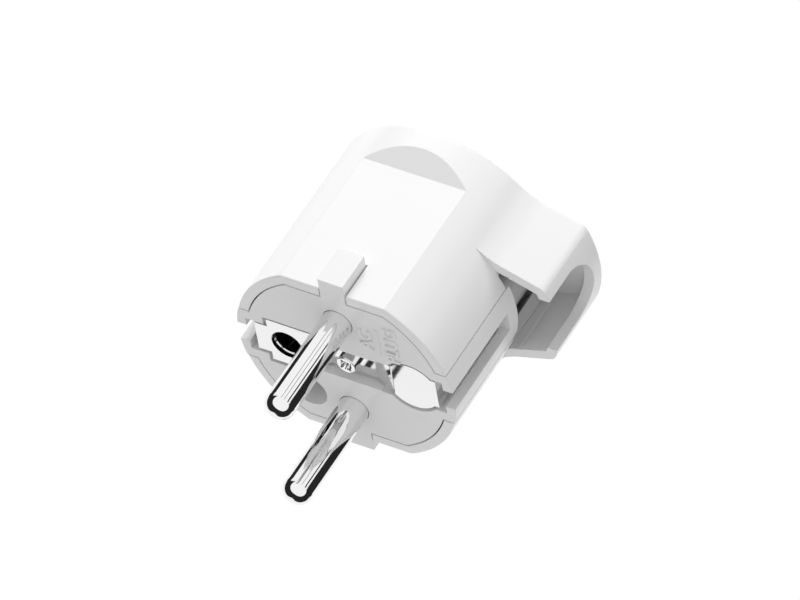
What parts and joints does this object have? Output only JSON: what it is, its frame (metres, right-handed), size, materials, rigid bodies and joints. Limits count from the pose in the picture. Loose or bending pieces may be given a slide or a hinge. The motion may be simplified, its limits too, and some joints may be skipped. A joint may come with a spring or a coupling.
{
  "type": "rewirable electric plug",
  "caption": "White round mains plug with two round pins, side earth contacts, an earth socket and a side outlet for the cord.",
  "frame": {"origin": "on the axis between the two pins, at the flat back face", "axes": "+Z out of the contact face along the pins, +X towards the cord outlet, +Y along the line of the two pins"},
  "size_m": [0.0436, 0.0364, 0.051],
  "materials": {
    "housing_plastic": "moulded gloss white",
    "carrier_plastic": "moulded gloss white",
    "clamp_plastic": "moulded plain white",
    "pin_plating": "polished nickel plating",
    "bracket_plating": "bright nickel plating",
    "terminal_brass": "machined brass",
    "screw_steel": "zinc plated steel"
  },
  "bodies": {
    "root": {"housing": "housing_plastic", "contact_carrier": "carrier_plastic", "line_pin": "pin_plating", "neutral_pin": "pin_plating", "earth_bracket": "bracket_plating", "earth_sleeve": "bracket_plating", "sleeve_spring": "screw_steel", "line_terminal": "terminal_brass", "neutral_terminal": "terminal_brass", "earth_terminal": "terminal_brass", "line_terminal_screw": "screw_steel", "neutral_terminal_screw": "screw_steel", "earth_terminal_screw": "screw_steel", "pin_retainer": "clamp_plastic", "centre_screw": "bracket_plating", "centre_nut": "screw_steel", "housing_screw": "screw_steel", "housing_insert": "terminal_brass", "cord_clamp_bar": "clamp_plastic", "clamp_screw_upper": "screw_steel", "clamp_screw_lower": "screw_steel"}
  },
  "joints": []
}
